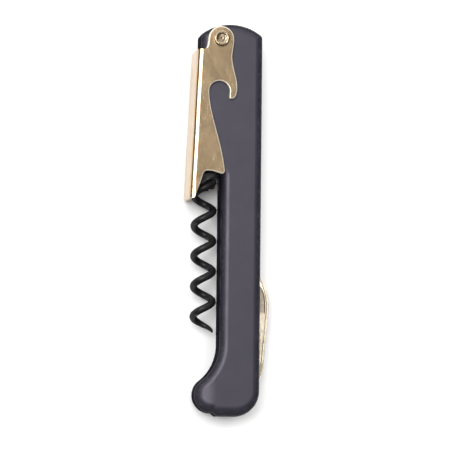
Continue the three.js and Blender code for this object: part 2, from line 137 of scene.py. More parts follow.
# ---------------------------------------------------------------- small tools

def smoothstep(value, low, high):
    t = min(1.0, max(0.0, (value - low) / (high - low)))
    return t * t * (3 - 2 * t)


def lerp(a, b, t):
    return a + (b - a) * t


def lofted(levels):
    """A closed mesh through rings with equal numbers of points, in millimetres."""
    bm = bmesh.new()
    rings = [[bm.verts.new(p) for p in level] for level in levels]
    count = len(rings[0])
    for low, high in zip(rings, rings[1:]):
        for i in range(count):
            j = (i + 1) % count
            bm.faces.new((low[i], low[j], high[j], high[i]))
    bm.faces.new(list(reversed(rings[0])))
    bm.faces.new(rings[-1])
    return settled(bm)


def settled(bm):
    """Merges doubled points, turns the faces outward, and returns a plain mesh."""
    bmesh.ops.remove_doubles(bm, verts=bm.verts, dist=1e-4)
    bmesh.ops.dissolve_degenerate(bm, dist=1e-5, edges=bm.edges)
    bmesh.ops.recalc_face_normals(bm, faces=bm.faces)
    mesh = bpy.data.meshes.new("shape")
    bm.to_mesh(mesh)
    bm.free()
    return mesh


def plate(outline, low, high):
    """A flat outline given thickness."""
    return lofted([[(x, y, z) for x, y in outline] for z in (low, high)])


def lathe(profile, centre, steps):
    """A body turned about an axis along Z. The profile runs from axis to axis as (radius, z)."""
    bm = bmesh.new()
    rings = []
    for radius, z in profile:
        if radius < 1e-6:
            rings.append([bm.verts.new((centre[0], centre[1], z))])
            continue
        turns = [math.tau * k / steps for k in range(steps)]
        rings.append([
            bm.verts.new((centre[0] + radius * math.cos(a), centre[1] + radius * math.sin(a), z))
            for a in turns
        ])
    for low, high in zip(rings, rings[1:]):
        for k in range(steps):
            j = (k + 1) % steps
            corners = [low[k % len(low)], low[j % len(low)], high[j % len(high)], high[k % len(high)]]
            distinct = list(dict.fromkeys(corners))
            if len(distinct) > 2:
                bm.faces.new(distinct)
    return settled(bm)


def bar(centre, radius, low, high):
    """A cylinder along Z."""
    return lathe([(0, low), (radius, low), (radius, high), (0, high)], centre, 48)


def temporary(mesh):
    obj = bpy.data.objects.new("tmp", mesh)
    bpy.context.scene.collection.objects.link(obj)
    return obj


def modified(mesh, *modifiers):
    """The mesh with modifiers applied. Each is (type, settings)."""
    obj = temporary(mesh)
    for kind, settings in modifiers:
        modifier = obj.modifiers.new(kind, kind)
        for key, value in settings.items():
            setattr(modifier, key, value)
    graph = bpy.context.evaluated_depsgraph_get()
    result = bpy.data.meshes.new_from_object(obj.evaluated_get(graph))
    bpy.data.objects.remove(obj)
    return result


def combined(mesh, operation, *tools):
    for tool in tools:
        other = temporary(tool)
        mesh = modified(mesh, ("BOOLEAN", {"object": other, "operation": operation, "solver": "EXACT"}))
        bpy.data.objects.remove(other)
    return mesh


def cut(mesh, *tools):
    return combined(mesh, "DIFFERENCE", *tools)


def cleaned(mesh):
    """Drops the needless edges that cutting leaves on flat faces."""
    bm = bmesh.new()
    bm.from_mesh(mesh)
    bmesh.ops.remove_doubles(bm, verts=bm.verts, dist=2e-3)
    bmesh.ops.dissolve_degenerate(bm, dist=1e-4, edges=bm.edges)
    bmesh.ops.dissolve_limit(bm, angle_limit=0.01, verts=bm.verts, edges=bm.edges)
    bm.to_mesh(mesh)
    bm.free()
    return mesh


def bevelled(mesh, width, segments, marked=False):
    """Rounds the mesh's sharp edges, or only those that carry a bevel weight."""
    settings = {
        "width": width,
        "segments": segments,
        "limit_method": "WEIGHT" if marked else "ANGLE",
        "angle_limit": math.radians(40),
        "miter_outer": "MITER_ARC",
        "use_clamp_overlap": not marked,
    }
    return modified(mesh, ("BEVEL", settings))


def piece(name, mesh, body, node, material, sharp=32.0):
    """A finished piece that rides on a body and stands for a CAD node. sharp is the angle, in degrees,
    from which an edge keeps its crease."""
    mesh.transform(to_row)
    mesh.name = name
    for polygon in mesh.polygons:
        polygon.use_smooth = True
    mesh.set_sharp_from_angle(angle=math.radians(sharp))
    mesh.materials.clear()
    mesh.materials.append(material)
    obj = bpy.data.objects.new(name, mesh)
    bpy.context.scene.collection.objects.link(obj)
    even = obj.modifiers.new("even", "WEIGHTED_NORMAL")
    even.keep_sharp = True
    even.weight = 60
    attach(obj, body)
    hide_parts(node)


class Path:
    """A flat outline of lines, Bezier curves and arcs, sampled into points."""

    def __init__(self, x, y):
        self.points = [(x, y)]

    def line(self, x, y):
        self.points.append((x, y))

    def quad(self, cx, cy, x, y, steps=10):
        x0, y0 = self.points[-1]
        for i in range(1, steps + 1):
            t = i / steps
            a, b, c = (1 - t) ** 2, 2 * t * (1 - t), t * t
            self.points.append((a * x0 + b * cx + c * x, a * y0 + b * cy + c * y))

    def cubic(self, ax, ay, bx, by, x, y, steps=24):
        x0, y0 = self.points[-1]
        for i in range(1, steps + 1):
            t = i / steps
            p, q, r, s = (1 - t) ** 3, 3 * t * (1 - t) ** 2, 3 * t * t * (1 - t), t ** 3
            self.points.append((p * x0 + q * ax + r * bx + s * x, p * y0 + q * ay + r * by + s * y))

    def arc(self, cx, cy, radius, start, end, steps=24):
        for i in range(steps + 1):
            a = math.radians(lerp(start, end, i / steps))
            point = (cx + radius * math.cos(a), cy + radius * math.sin(a))
            if math.dist(point, self.points[-1]) > 1e-4:
                self.points.append(point)


# ---------------------------------------------------------------- materials

class Nodes:
    """Short helpers round one material's node tree."""

    def __init__(self, name):
        self.material = bpy.data.materials.new(name)
        self.material.use_nodes = True
        self.tree = self.material.node_tree
        self.shader = self.tree.nodes["Principled BSDF"]
        self.place = self.add("ShaderNodeTexCoord").outputs["Object"]

    def add(self, kind, **settings):
        node = self.tree.nodes.new(kind)
        for key, value in settings.items():
            setattr(node, key, value)
        return node

    def link(self, source, target):
        self.tree.links.new(source, target)

    def stretched(self, x, y, z):
        """Object coordinates, in metres, scaled per axis."""
        node = self.add("ShaderNodeMapping")
        node.inputs["Scale"].default_value = (x, y, z)
        self.link(self.place, node.inputs["Vector"])
        return node.outputs["Vector"]

    def noise(self, scale, detail=2.0, roughness=0.5, vector=None, distortion=0.0):
        node = self.add("ShaderNodeTexNoise")
        node.inputs["Scale"].default_value = scale
        node.inputs["Detail"].default_value = detail
        node.inputs["Roughness"].default_value = roughness
        node.inputs["Distortion"].default_value = distortion
        self.link(vector or self.place, node.inputs["Vector"])
        return node.outputs["Fac"]

    def remap(self, value, low, high, to_low, to_high, smooth=False):
        node = self.add("ShaderNodeMapRange")
        if smooth:
            node.interpolation_type = "SMOOTHSTEP"
        for key, number in zip(("From Min", "From Max", "To Min", "To Max"), (low, high, to_low, to_high)):
            node.inputs[key].default_value = number
        self.link(value, node.inputs["Value"])
        return node.outputs["Result"]

    def math(self, operation, a, b):
        node = self.add("ShaderNodeMath", operation=operation)
        for socket, value in zip(node.inputs, (a, b)):
            if isinstance(value, (int, float)):
                socket.default_value = value
            else:
                self.link(value, socket)
        return node.outputs["Value"]

    def ramp(self, value, *stops):
        node = self.add("ShaderNodeValToRGB")
        elements = node.color_ramp.elements
        while len(elements) < len(stops):
            elements.new(0.5)
        for element, (position, colour) in zip(elements, stops):
            element.position = position
            element.color = (*colour, 1)
        self.link(value, node.inputs["Fac"])
        return node.outputs["Color"]

    def mix(self, factor, a, b):
        node = self.add("ShaderNodeMix", data_type="RGBA")
        for socket, value in zip((node.inputs[0], node.inputs[6], node.inputs[7]), (factor, a, b)):
            if isinstance(value, (int, float)):
                socket.default_value = value
            elif isinstance(value, tuple):
                socket.default_value = (*value, 1)
            else:
                self.link(value, socket)
        return node.outputs[2]

    def bump(self, height, distance, strength=1.0, below=None):
        node = self.add("ShaderNodeBump")
        node.inputs["Distance"].default_value = distance
        node.inputs["Strength"].default_value = strength
        self.link(height, node.inputs["Height"])
        if below is not None:
            self.link(below, node.inputs["Normal"])
        return node.outputs["Normal"]

    def facing(self, low, high, to_low, to_high):
        """to_low where the surface faces the viewer, to_high where it is seen at a glancing angle."""
        node = self.add("ShaderNodeLayerWeight")
        node.inputs["Blend"].default_value = 0.5
        return self.remap(node.outputs["Facing"], low, high, to_low, to_high, True)

    def upright(self):
        """How nearly the surface faces along the thickness: 1 on broad faces, 0 on walls."""
        split = self.add("ShaderNodeSeparateXYZ")
        self.link(self.add("ShaderNodeNewGeometry").outputs["Normal"], split.inputs[0])
        return self.math("ABSOLUTE", split.outputs["Z"], 0)

    def steep(self):
        """1 where the surface leans over from the broad faces."""
        return self.remap(self.upright(), 0.998, 0.96, 0, 1, True)

    def rounding(self):
        """1 along the roundings between broad faces and walls, where hands and pockets rub."""
        upright = self.upright()
        off_face = self.remap(upright, 0.97, 0.85, 0, 1, True)
        off_wall = self.remap(upright, 0.35, 0.6, 0, 1, True)
        return self.math("MULTIPLY", off_face, off_wall)

    def from_spine(self):
        """x, in metres, with the slant of the lever's spine taken out: the same all along the spine."""
        split = self.add("ShaderNodeSeparateXYZ")
        self.link(self.place, split.inputs[0])
        spine = self.math("MULTIPLY", split.outputs["Y"], SPINE_SLANT)
        return self.math("SUBTRACT", split.outputs["X"], spine)

    def edges(self):
        """1 on worn convex edges of a finely divided piece, 0 elsewhere."""
        return self.remap(self.add("ShaderNodeNewGeometry").outputs["Pointiness"], 0.52, 0.6, 0, 1, True)

    def set(self, **values):
        for key, value in values.items():
            socket = self.shader.inputs[key.replace("_", " ")]
            if isinstance(value, (int, float)):
                socket.default_value = value
            elif isinstance(value, tuple):
                socket.default_value = (*value, 1)
            else:
                self.link(value, socket)


def handle_plastic():
    """Moulded plastic with a fine grain, faint lengthwise scuffs and rubbed edges."""
    n = Nodes("handle_plastic")
    cloud = n.noise(160, 3)
    grain = n.noise(5200, 2, 0.6)
    colour = n.ramp(cloud, (0.25, (0.0115, 0.0102, 0.0155)), (0.75, (0.0165, 0.0148, 0.0215)))
    rub = n.math("MULTIPLY", n.rounding(), n.remap(n.noise(900, 3, 0.7), 0.5, 0.75, 0, 1))
    colour = n.mix(n.math("MULTIPLY", rub, 0.5), colour, (0.07, 0.066, 0.085))
    scuffs = n.noise(1, 4, 0.7, n.stretched(2600, 260, 2600))
    smudge = n.noise(70, 4, 0.6)
    rough = n.math("ADD", n.remap(scuffs, 0.35, 0.7, 0.42, 0.50), n.remap(smudge, 0.35, 0.65, -0.03, 0.04))
    normal = n.bump(grain, 0.00003, 0.55)
    normal = n.bump(n.noise(420, 2), 0.00004, 0.35, normal)
    n.set(Base_Color=colour, Roughness=rough, Normal=normal, IOR=1.49)
    sheen = n.math("MULTIPLY", n.facing(0.06, 0.36, 0.76, 0.07), n.facing(0.76, 0.84, 1, 0))
    sheen = n.math("MAXIMUM", sheen, n.remap(n.upright(), 0.9, 0.99, 0, 0.5))
    n.set(Specular_IOR_Level=sheen, Specular_Tint=(0.89, 0.85, 1.0))
    return n.material


def plated(name, dark, light, shadow, rough_low, rough_high, waviness, wave_scale=130, cut_edge_highlight_from=None):
    """Polished plate over pressed or ground metal: fine lengthwise rubbing, clouding and faint pits.
    The sheet's cut edges are matt, and paler than the plate as a painted highlight that keeps them bright
    from every side. That sets in over cut_edge_highlight_from, a range of Nodes.from_spine, so the spine
    and its bends stay polished."""
    n = Nodes(name)
    cloud = n.noise(120, 4, 0.6, distortion=0.4)
    fine = n.noise(1, 5, 0.65, n.stretched(7000, 500, 7000))
    colour = n.ramp(cloud, (0.3, dark), (0.7, light))
    spots = n.remap(n.noise(900, 3, 0.7), 0.66, 0.74, 0, 0.55)
    colour = n.mix(spots, colour, shadow)
    colour = n.mix(n.math("MULTIPLY", n.rounding(), 0.35), colour, light)
    rough = n.remap(fine, 0.3, 0.7, rough_low, rough_high)
    rough = n.math("ADD", rough, n.remap(cloud, 0.3, 0.7, 0.03, -0.02))
    wave = n.noise(wave_scale, 2, 0.4)
    normal = n.bump(wave, 0.0006 * waviness, 0.5)
    normal = n.bump(fine, 0.000012, 0.5, normal)
    pits = n.remap(n.noise(3200, 2, 0.5), 0.68, 0.76, 0, -1)
    normal = n.bump(pits, 0.00002, 0.4, normal)
    if cut_edge_highlight_from:
        # Painted highlight on the cut edges: a paler colour and less metal keep them bright from every
        # side, over the sheet's own matt cut edge.
        edge = n.math("MULTIPLY", n.steep(), n.remap(n.from_spine(), *cut_edge_highlight_from, 0, 1, True))
        colour = n.mix(edge, colour, (0.86, 0.77, 0.63))
        rough = n.math("ADD", rough, n.math("MULTIPLY", edge, 0.3))
        n.set(Metallic=n.remap(edge, 0, 1, 1.0, 0.6))
    else:
        n.set(Metallic=1.0)
    n.set(Base_Color=colour, Roughness=rough, Normal=normal)
    return n.material


def frame_steel():
    """Plain stamped steel with a lengthwise grain."""
    n = Nodes("frame_steel")
    grain = n.noise(1, 4, 0.6, n.stretched(9000, 700, 9000))
    blot = n.noise(260, 4, 0.65)
    colour = n.ramp(blot, (0.3, (0.34, 0.335, 0.325)), (0.7, (0.50, 0.495, 0.48)))
    rough = n.math("ADD", n.remap(grain, 0.3, 0.7, 0.26, 0.42), n.remap(blot, 0.3, 0.7, 0.04, -0.03))
    n.set(Base_Color=colour, Metallic=1.0, Roughness=rough, Normal=n.bump(grain, 0.000015, 0.5))
    return n.material


def worm_coating():
    """Black coating, speckled and a little worn on its most exposed edges."""
    n = Nodes("worm_coating")
    blot = n.noise(500, 4, 0.6)
    speck = n.noise(4200, 2, 0.5)
    colour = n.ramp(blot, (0.3, (0.006, 0.0055, 0.006)), (0.7, (0.012, 0.011, 0.0115)))
    worn = n.math("MULTIPLY", n.edges(), n.remap(speck, 0.5, 0.62, 0, 0.7))
    colour = n.mix(worn, colour, (0.12, 0.115, 0.11))
    rough = n.math("ADD", n.remap(speck, 0.3, 0.7, 0.30, 0.44), n.remap(blot, 0.3, 0.7, 0.03, -0.03))
    normal = n.bump(speck, 0.00003, 0.5)
    normal = n.bump(n.noise(1300, 3), 0.00006, 0.4, normal)
    n.set(Base_Color=colour, Roughness=rough, Normal=normal, IOR=1.5)
    n.set(Specular_IOR_Level=n.facing(0.15, 0.8, 0.26, 0.0))
    return n.material


PLASTIC = handle_plastic()
BRASS = plated(
    "plated_brass", (0.52, 0.375, 0.22), (0.62, 0.46, 0.285), (0.30, 0.21, 0.12), 0.17, 0.27, 0.7,
    cut_edge_highlight_from=(-0.0112, -0.0104),
)
RIVET = plated(
    "rivet_brass", (0.30, 0.225, 0.15), (0.50, 0.40, 0.27), (0.16, 0.12, 0.07), 0.2, 0.32, 0.5,
    wave_scale=700,
)
GILT = plated(
    "knife_gilt", (0.70, 0.60, 0.46), (0.84, 0.74, 0.59), (0.50, 0.40, 0.28), 0.19, 0.28, 0.5,
)
STEEL = frame_steel()
COATING = worm_coating()

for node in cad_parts.values():
    node.data.materials.clear()
    node.data.materials.append(STEEL)


# ---------------------------------------------------------------- handle

def arc(centre_x, centre_y, radius, start, end, steps, sharp_at=None):
    """Outline points with their inward directions. Angles are in radians."""
    turn = 1 if end > start else -1
    points = []
    for i in range(steps + 1):
        a = lerp(start, end, i / steps)
        c, s = math.cos(a), math.sin(a)
        place = (centre_x + radius * c, centre_y + radius * s)
        points.append((*place, -turn * c, -turn * s, radius, sharp_at))
    return points


def dome_corner(wall, side, radius, steps):
    """A rounded top corner and its half of the dome, counter-clockwise."""
    dome_x, dome_y, dome_radius = DOME
    x = wall - side * radius
    y = dome_y + math.sqrt((dome_radius - radius) ** 2 - (x - dome_x) ** 2)

    def sharp_at(depth):
        sharp_x = wall - side * depth
        return sharp_x, dome_y + math.sqrt((dome_radius - depth) ** 2 - (sharp_x - dome_x) ** 2)

    angle = math.atan2(y - dome_y, x - dome_x)
    if side > 0:
        corner = arc(x, y, radius, 0, angle, steps, sharp_at)
        return corner + arc(*DOME, angle, math.pi / 2, 24, sharp_at)[1:]
    corner = arc(x, y, radius, angle, math.pi, steps, sharp_at)
    return arc(*DOME, math.pi / 2, angle, 24, sharp_at)[1:-1] + corner


def handle_outline():
    """Counter-clockwise from the heel, each point as x, y, inward direction, radius and corner rule."""
    quarter = math.pi / 2
    lobe_x, lobe_y, lobe_radius = LOBE
    neck_x = GRIP_WALL - NECK_RADIUS
    neck_y = lobe_y + math.sqrt((NECK_RADIUS + lobe_radius) ** 2 - (lobe_x - neck_x) ** 2)
    neck_end = math.atan2(lobe_y - neck_y, lobe_x - neck_x)
    heel_step = []
    steps = 16
    for i in range(1, steps + 1):
        share = i / steps
        x = lerp(lobe_x, HEEL_STEP_END, share)
        y = (lobe_y - lobe_radius) * (1 - smoothstep(share, 0, 1))
        heel_step.append((x, y, 0, 1, 0, None))
    return [
        *arc(KNIFE_WALL - HEEL_RADIUS, HEEL_RADIUS, HEEL_RADIUS, -quarter, 0, 28),
        *dome_corner(KNIFE_WALL, 1, KNIFE_CORNER_RADIUS, 10),
        *dome_corner(HEAD_WALL, -1, LEVER_CORNER_RADIUS, 10),
        *arc(HEAD_WALL + STEP_RADIUS, STEP_Y + STEP_RADIUS, STEP_RADIUS, math.pi, 3 * quarter, 14),
        *arc(GRIP_WALL - STEP_FILLET, STEP_Y - STEP_FILLET, STEP_FILLET, quarter, 0, 10),
        *arc(neck_x, neck_y, NECK_RADIUS, 0, neck_end, 30),
        *arc(*LOBE, math.pi + neck_end, 3 * quarter, 40)[1:],
        *heel_step,
    ]


def stepped_in(point, depth):
    """The point moved inward. Where the depth uses up a top corner's radius, the corner stays sharp."""
    x, y, in_x, in_y, radius, sharp_at = point
    x, y = x + in_x * depth, y + in_y * depth
    past_wall = not HEAD_WALL + depth <= x <= KNIFE_WALL - depth
    if sharp_at and (depth > radius or past_wall):
        return sharp_at(depth)
    return x, y


def edge_radius(point):
    """The edge is rounder along the bottom of the heel and the lobe."""
    y, inward_y = point[1], point[3]
    share = max(0, inward_y) ** 2 if y < LOBE[1] + LOBE[2] else 0
    return lerp(EDGE_RADIUS, HEEL_EDGE_RADIUS, share)


def half_body():
    """Half of the handle, solid, from the chamfer at the seam to the rounding at the broad face."""
    outline = handle_outline()
    levels = [[(*stepped_in(p, SEAM_CHAMFER), SEAM_GAP) for p in outline]]
    levels.append([(p[0], p[1], SEAM_GAP + SEAM_CHAMFER) for p in outline])
    steps = 14
    for j in range(steps + 1):
        a = math.pi / 2 * j / steps
        level = []
        for p in outline:
            radius = edge_radius(p)
            x, y = stepped_in(p, radius * (1 - math.cos(a)))
            level.append((x, y, HALF_THICKNESS - radius * (1 - math.sin(a))))
        levels.append(level)
    return lofted(levels)


def lobe_lowered(mesh):
    """Lets the broad face of the foot's lobe fall away to the left in a curve."""
    bm = bmesh.new()
    bm.from_mesh(mesh)
    slices = 18
    for k in range(slices):
        x = LOBE_FALL_FROM - LOBE_FALL_WIDTH * k / slices
        everything = [*bm.verts, *bm.edges, *bm.faces]
        bmesh.ops.bisect_plane(bm, geom=everything, dist=1e-4, plane_co=(x, 0, 0), plane_no=(1, 0, 0))
    for vertex in bm.verts:
        x, y, z = vertex.co
        if y < STEP_Y / 2 and x < LOBE_FALL_FROM:
            fall = LOBE_FALL_RATE * (LOBE_FALL_FROM - x) ** 2
            vertex.co.z = SEAM_GAP + (z - SEAM_GAP) * (1 - fall / (HALF_THICKNESS - SEAM_GAP))
    bm.to_mesh(mesh)
    bm.free()
    return mesh


def liner_pocket():
    """The room inside a shell for the liners and what lies between them."""
    wall = LINER_WALL - LINER_ROOM
    right = KNIFE_WALL - wall
    head_left = HEAD_WALL + wall
    grip_left = GRIP_WALL + wall
    dome_x, dome_y, dome_radius = DOME
    dome_radius -= wall
    outline = Path(grip_left, wall)
    outline.arc(KNIFE_WALL - HEEL_RADIUS, HEEL_RADIUS, HEEL_RADIUS - wall, -90, 0)
    start = math.degrees(math.acos((right - dome_x) / dome_radius))
    end = math.degrees(math.acos((head_left - dome_x) / dome_radius))
    outline.arc(dome_x, dome_y, dome_radius, start, end)
    outline.line(head_left, STEP_Y + wall)
    outline.line(grip_left, STEP_Y + wall)
    return plate(outline.points, -1, LINER_POCKET_HALF)


def slot_cutter(left, bottom, right, top, half_width):
    return plate([(left, bottom), (right, bottom), (right, top), (left, top)], -1, half_width)


def shell_mesh():
    """The front shell: room for the frame, slots for worm and knife, and the lever pin's hole."""
    return cut(
        lobe_lowered(half_body()),
        liner_pocket(),
        slot_cutter(*WORM_SLOT, WORM_SLOT_HALF),
        slot_cutter(*KNIFE_SLOT, KNIFE_SLOT_HALF),
        bar(LEVER_PIN, LEVER_PIN_RADIUS + PIN_ROOM, -1, HALF_THICKNESS + 1),
    )


front_shell = shell_mesh()
rear_shell = front_shell.copy()
rear_shell.transform(Matrix.Scale(-1, 4, Vector((0, 0, 1))))
rear_shell.flip_normals()
piece("handle_shell_front_moulding", front_shell, "handle", "handle_front_shell", PLASTIC)
piece("handle_shell_rear_moulding", rear_shell, "handle", "handle_rear_shell", PLASTIC)


# ---------------------------------------------------------------- lever

def bend_points(offset):
    """The outline of a bend, stepped in by offset: wide near the plate, tighter near the spine."""
    wide, tight = BEND_WIDE - offset, BEND_TIGHT - offset
    wide_steps, tight_steps = 8, 12
    points = []
    for i in range(wide_steps + 1):
        a = math.radians(BEND_CHANGE * i / wide_steps)
        points.append((-wide * math.sin(a), -wide * (1 - math.cos(a))))
    a = math.radians(BEND_CHANGE)
    end_x, end_z = points[-1]
    for i in range(1, tight_steps + 1):
        b = math.radians(lerp(BEND_CHANGE, 90, i / tight_steps))
        x = end_x - tight * (math.sin(b) - math.sin(a))
        z = end_z - tight * (math.cos(a) - math.cos(b))
        points.append((x, z))
    return points


def spine_at(y):
    """x of the outer face of the slanting spine."""
    return SPINE[0] + (y - SPINE[1]) * SPINE_SLANT


def channel_section(y):
    """The bent sheet's section across the lever, before its sides are cut to their outline."""
    left = spine_at(y)
    right = left + LEVER_DEPTH
    outer = bend_points(0)
    inner = bend_points(LEVER_SHEET)
    start = left - outer[-1][0]
    front_outer = [(start + x, LEVER_HALF_WIDTH + z) for x, z in outer]
    front_inner = [(start + x, LEVER_HALF_WIDTH - LEVER_SHEET + z) for x, z in inner]
    front = [(right, LEVER_HALF_WIDTH), *front_outer]
    back = [(right, LEVER_HALF_WIDTH - LEVER_SHEET), *front_inner]
    skin = front + [(x, -z) for x, z in reversed(front)]
    lining = back + [(x, -z) for x, z in reversed(back)]
    return [(x, y, z) for x, z in skin + list(reversed(lining))]


def lever_profile():
    """What is left of the channel, seen along the pin: notch, waist, crown-cap hook and ear."""
    beyond = -24.6
    hook_x, hook_y, hook_radius = HOOK
    ear_x, ear_y, ear_radius = EAR
    path = Path(beyond, 66.2)
    path.line(-21.2, 66.1)
    path.quad(-20.65, 66.1, -20.4, 66.9)
    path.line(-19.1, 70.4)
    path.line(-18.3, 72.9)
    path.quad(-17.95, 74.5, -16.6, 74.48, 12)
    path.line(-15.4, 74.4)
    path.line(-12.5, 73.65)
    path.quad(-11.65, 73.45, -11.5, 74.5, 12)
    path.cubic(-12.75, 84.6, hook_x - hook_radius, 91.9, hook_x - hook_radius, hook_y, 36)
    path.arc(hook_x, hook_y, hook_radius, 180, 0, 44)
    path.line(-10.4, 97.0)
    path.quad(-10.32, 96.42, -9.7, 96.53, 8)
    path.line(-9.1, 96.65)
    path.quad(-8.1, 97.2, -7.95, 99.6, 14)
    path.cubic(-7.8, 103, -9.7, 106, -9.6, 110, 26)
    path.line(ear_x + ear_radius, ear_y - 0.8)
    path.arc(ear_x, ear_y, ear_radius, 0, 180, 48)
    path.line(-17.2, 112.9)
    path.quad(-17.4, 111.75, -18.2, 111.65, 8)
    path.line(beyond, 111.35)
    return plate(path.points, -LEVER_HALF_WIDTH - 1, LEVER_HALF_WIDTH + 1)


def plate_outline_marked(mesh):
    """Marks the edges round the plates' outer faces for a wider rounding, which fades out at the bend."""
    bend = -bend_points(0)[-1][0]
    bm = bmesh.new()
    bm.from_mesh(mesh)

    def outline():
        for edge in bm.edges:
            outside = all(abs(v.co.z) > LEVER_HALF_WIDTH - 1e-4 for v in edge.verts)
            if outside and edge.calc_face_angle(0) > 0.7:
                yield edge

    long_edges = [edge for edge in outline() if edge.calc_length() > 1]
    bmesh.ops.bisect_edges(bm, edges=long_edges, cuts=5)
    weight = bm.edges.layers.float.new("bevel_weight_edge")
    for edge in outline():
        middle = (edge.verts[0].co + edge.verts[1].co) / 2
        edge[weight] = smoothstep(middle.x - spine_at(middle.y) - bend, 0.25, 1.1)
    bm.to_mesh(mesh)
    bm.free()
    return mesh


def lever_mesh():
    """The channel cut to its profile, pierced and rounded, most along the plates' outline."""
    channel = lofted([channel_section(LEVER_TOP), channel_section(LEVER_BOTTOM)])
    lever = combined(channel, "INTERSECT", lever_profile())
    hole = bar(LEVER_PIN, LEVER_PIN_RADIUS + PIN_ROOM, -LEVER_HALF_WIDTH - 1, LEVER_HALF_WIDTH + 1)
    lever = plate_outline_marked(cleaned(cut(lever, hole)))
    return bevelled(bevelled(lever, PLATE_ROUNDING, 4, marked=True), LEVER_ROUNDING, 2)


piece("lever_pressing", lever_mesh(), "lever", "lever", BRASS)


def lever_pin_mesh():
    """The lever's rivet. Each end is spun over a dished, rounded head with a small centre dimple."""
    under = LEVER_HALF_WIDTH + RIVET_HEAD_GAP
    top = LEVER_HALF_WIDTH + RIVET_HEAD_TOP
    chamfer, shoulder = 0.07, 0.5
    brow = under + 0.28
    steps = 8
    head = [
        (LEVER_PIN_RADIUS, under),
        (RIVET_HEAD_RADIUS - chamfer, under),
        (RIVET_HEAD_RADIUS, under + chamfer),
        (RIVET_HEAD_RADIUS, brow),
    ]
    for i in range(1, steps + 1):
        a = math.radians(90 * i / steps)
        head.append((RIVET_HEAD_RADIUS - shoulder * (1 - math.cos(a)), brow + (top - brow) * math.sin(a)))
    dish = [(1.72, 0.01), (1.58, 0.06), (1.45, 0.17), (1.30, 0.26), (1.05, 0.30)]
    dimple = [(0.5, 0.27), (0.34, 0.28), (0.24, 0.34), (0.1, 0.4), (0, 0.41)]
    head += [(radius, top - depth) for radius, depth in dish + dimple]
    rear = [(radius, -z) for radius, z in reversed(head)]
    return lathe(rear + head, LEVER_PIN, 72)


piece("lever_rivet", lever_pin_mesh(), "handle", "lever_pin", RIVET, 50)


# ---------------------------------------------------------------- worm

def worm_mesh():
    """Round wire along a right-handed helix, ground to a point over its last stretch."""
    sides, steps_per_turn = 28, 72
    steps = round(steps_per_turn * (WORM_TOP - WORM_TIP) / PITCH)
    rate = math.tau / PITCH
    length_per_y = math.sqrt(1 + (COIL_RADIUS * rate) ** 2)
    levels = []
    for i in range(steps + 1):
        y = lerp(WORM_TOP, WORM_TIP, i / steps)
        turn = math.pi / 2 + rate * (y - RIGHT_SIDE_Y)
        outward = Vector((math.sin(turn), 0, math.cos(turn)))
        sweep = COIL_RADIUS * rate
        along = Vector((-sweep * math.cos(turn), -1, sweep * math.sin(turn))).normalized()
        side = along.cross(outward)
        centre = Vector((WORM_X, y, 0)) + outward * COIL_RADIUS
        left = (y - WORM_TIP) * length_per_y
        radius = WIRE_RADIUS * min(1, 0.05 + 0.95 * math.sqrt(left / WORM_POINT))
        ring = []
        for k in range(sides):
            a = math.tau * k / sides
            ring.append(centre + outward * (radius * math.cos(a)) + side * (radius * math.sin(a)))
        levels.append(ring)
    return lofted(levels)


piece("worm_wire", worm_mesh(), "worm", "worm", COATING, 60)


def carrier_outline(left_bottom, right_bottom):
    left, right, corner = CARRIER_LEFT, CARRIER_RIGHT, CARRIER_CORNER
    slope = (right_bottom - left_bottom) / (right - left)
    path = Path(left + corner, left_bottom + corner * slope)
    path.line(right - corner, right_bottom - corner * slope)
    path.quad(right, right_bottom, right, right_bottom + corner)
    path.line(WORM_PIN[0] + EYE_RADIUS, WORM_PIN[1] - 0.5)
    path.arc(*WORM_PIN, EYE_RADIUS, 0, 135, 30)
    path.line(left, CARRIER_TOP)
    path.line(left, left_bottom + corner)
    path.quad(left, left_bottom, left + corner, left_bottom + corner * slope)
    return path.points[:-1]


def carrier_mesh():
    """The eye on the worm's pin, the block under it, and the spigot that the top coil sits on."""
    overlap = 0.01
    front = plate(carrier_outline(*CARRIER_FRONT_FOOT), CARRIER_SPLIT, CARRIER_HALF)
    rear = plate(carrier_outline(*CARRIER_REAR_FOOT), -CARRIER_HALF, CARRIER_SPLIT + overlap)
    spigot = bar((0, 0), SPIGOT_RADIUS, *SPIGOT_ENDS)
    spigot.transform(Matrix.Translation((WORM_X, 0, 0)) @ Matrix.Rotation(-math.pi / 2, 4, "X"))
    joined = combined(front, "UNION", rear, spigot)
    return bevelled(cleaned(cut(joined, bar(WORM_PIN, EYE_HOLE, -3, 3))), CARRIER_ROUNDING, 3)


piece("worm_holder", carrier_mesh(), "worm", "worm_carrier", COATING)


# ---------------------------------------------------------------- knife

def side_curve(path):
    """x as a function of y along a sampled path that runs one way in y."""
    points = sorted(path.points, key=lambda p: p[1])

    def x_at(y):
        for (x0, y0), (x1, y1) in zip(points, points[1:]):
            if y <= y1:
                return lerp(x0, x1, 0 if y1 - y0 < 1e-9 else (y - y0) / (y1 - y0))
        return points[-1][0]

    return x_at


def knife_sides():
    """The blade's back and its cutting edge, both from the tang's heel to the tip."""
    back = Path(KNIFE_PIN[0], KNIFE_PIN[1] - TANG_RADIUS)
    back.arc(*KNIFE_PIN, TANG_RADIUS, -90, 0, 24)
    back.quad(-0.4, 10.2, 0.6, 11.2)
    back.quad(1.9, 12.6, 2, 15.2)
    back.cubic(2.3, 22, 3.4, 29, 3.5, 34)
    back.cubic(3.5, 37, 2.2, 41, *TIP, 40)
    edge = Path(KNIFE_PIN[0], KNIFE_PIN[1] - TANG_RADIUS)
    edge.arc(*KNIFE_PIN, TANG_RADIUS, 270, 180 - math.degrees(math.asin(0.6)), 24)
    edge.quad(-6.6, 14.2, -6.6, 17)
    edge.cubic(-7, 27, -4, 39, *TIP, 40)
    return side_curve(back), side_curve(edge)


back_at, edge_at = knife_sides()


